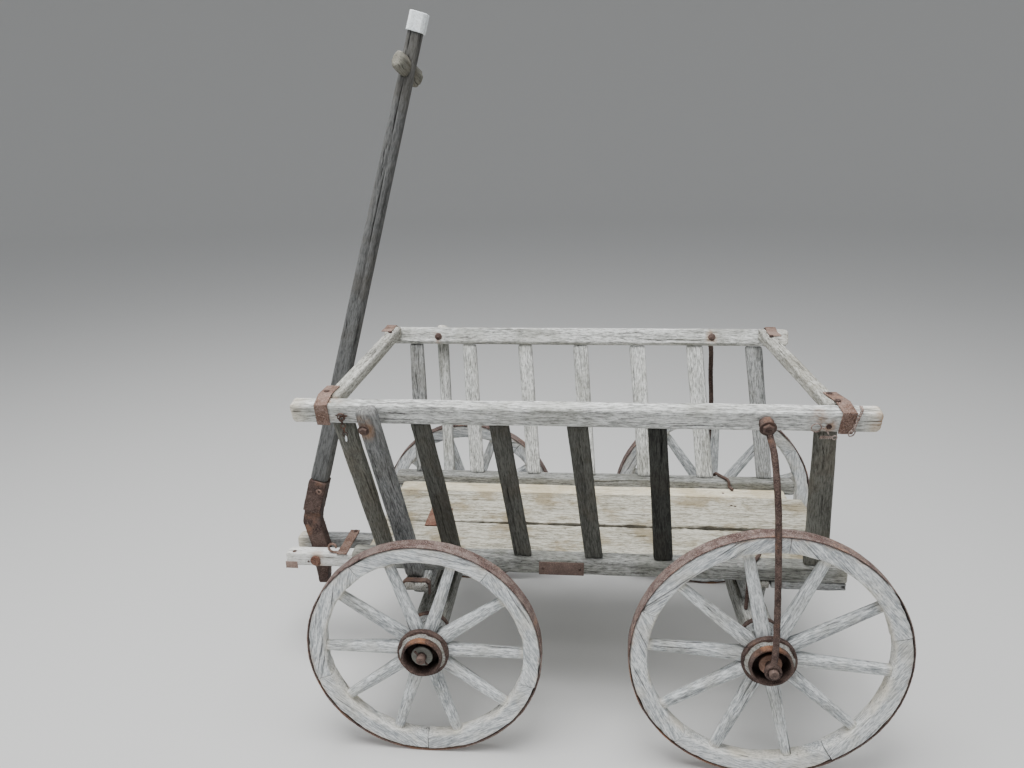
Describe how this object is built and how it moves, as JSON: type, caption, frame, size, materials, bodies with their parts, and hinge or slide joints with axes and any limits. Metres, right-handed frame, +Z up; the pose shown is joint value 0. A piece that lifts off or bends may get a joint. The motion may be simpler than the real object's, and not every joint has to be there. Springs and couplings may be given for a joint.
{
  "type": "wooden hand ladder cart",
  "caption": "Weathered hand ladder cart with slatted sides, spoked iron-tyred wheels, a turning front axle and an upright drawbar.",
  "frame": {"origin": "on the ground under the middle of the whole cart", "axes": "+Z up, -X forwards to the drawbar, +Y to the far side"},
  "size_m": [1.252, 0.771, 1.3806],
  "materials": {
    "grey_wood": "silver-grey weathered, open grain, checked",
    "dark_wood": "dark grey-brown weathered, stained by damp",
    "pale_wood": "bleached and flaking, cream to greenish",
    "rusty_iron": "forged iron, brown-purple rust with orange patches",
    "white_metal": "dull white-grey galvanised cap"
  },
  "bodies": {
    "cart_body": {"sill_near": "grey_wood", "sill_far": "grey_wood", "rail_near": "grey_wood", "rail_far": "grey_wood", "rung_near_1": "dark_wood", "rung_near_2": "dark_wood", "rung_near_3": "dark_wood", "rung_near_4": "dark_wood", "rung_near_5": "dark_wood", "rung_near_7": "dark_wood", "rung_far_1": "grey_wood", "rung_far_2": "grey_wood", "rung_far_3": "grey_wood", "rung_far_4": "grey_wood", "rung_far_5": "grey_wood", "rung_far_6": "grey_wood", "rung_far_7": "grey_wood", "crossbar_front": "grey_wood", "crossbar_rear": "grey_wood", "strap_front_near": "rusty_iron", "strap_front_far": "rusty_iron", "strap_rear_near": "rusty_iron", "strap_rear_far": "rusty_iron", "floor_board_near": "pale_wood", "floor_board_middle": "pale_wood", "floor_board_far": "pale_wood", "bolster_front": "grey_wood", "bolster_rear": "grey_wood", "reach_pole": "grey_wood", "axle_rear": "dark_wood", "king_pin": "rusty_iron", "stake_near": "grey_wood", "stake_far": "grey_wood", "stay_near": "rusty_iron", "stay_far": "rusty_iron", "brace_near": "rusty_iron", "brace_far": "rusty_iron"},
    "front_carriage": {"axle_front": "dark_wood", "bolster_lower": "grey_wood", "arm_near": "pale_wood", "arm_far": "pale_wood", "drawbar_bolt": "rusty_iron", "keeper_bar": "rusty_iron"},
    "drawbar": {"drawbar_pole": "dark_wood", "drawbar_cap": "white_metal", "hand_peg": "grey_wood", "drawbar_iron": "rusty_iron"},
    "wheel_front_near": {"tyre_front_near": "rusty_iron", "felloes_front_near": "grey_wood", "nave_spokes_front_near": "grey_wood"},
    "wheel_front_far": {"tyre_front_far": "rusty_iron", "felloes_front_far": "grey_wood", "nave_spokes_front_far": "grey_wood"},
    "wheel_rear_near": {"tyre_rear_near": "rusty_iron", "felloes_rear_near": "grey_wood", "nave_spokes_rear_near": "grey_wood"},
    "wheel_rear_far": {"tyre_rear_far": "rusty_iron", "felloes_rear_far": "grey_wood", "nave_spokes_rear_far": "grey_wood"}
  },
  "joints": [
    {"name": "steering", "type": "hinge", "parent": "cart_body", "child": "front_carriage", "pos_m": [-0.28, 0, 0.2763], "axis": [0, 0, 1], "range_deg": [-17, 17]},
    {"name": "drawbar_lift", "type": "hinge", "parent": "front_carriage", "child": "drawbar", "pos_m": [-0.556, 0, 0.2515], "axis": [0, -1, 0], "range_deg": [0, 86]},
    {"name": "roll_front_near", "type": "hinge", "parent": "front_carriage", "child": "wheel_front_near", "pos_m": [-0.256, -0.317, 0.225], "axis": [0, 1, 0], "continuous": true},
    {"name": "roll_front_far", "type": "hinge", "parent": "front_carriage", "child": "wheel_front_far", "pos_m": [-0.256, 0.317, 0.225], "axis": [0, 1, 0], "continuous": true},
    {"name": "roll_rear_near", "type": "hinge", "parent": "cart_body", "child": "wheel_rear_near", "pos_m": [0.376, -0.331, 0.25], "axis": [0, 1, 0], "continuous": true},
    {"name": "roll_rear_far", "type": "hinge", "parent": "cart_body", "child": "wheel_rear_far", "pos_m": [0.376, 0.331, 0.25], "axis": [0, 1, 0], "continuous": true}
  ]
}
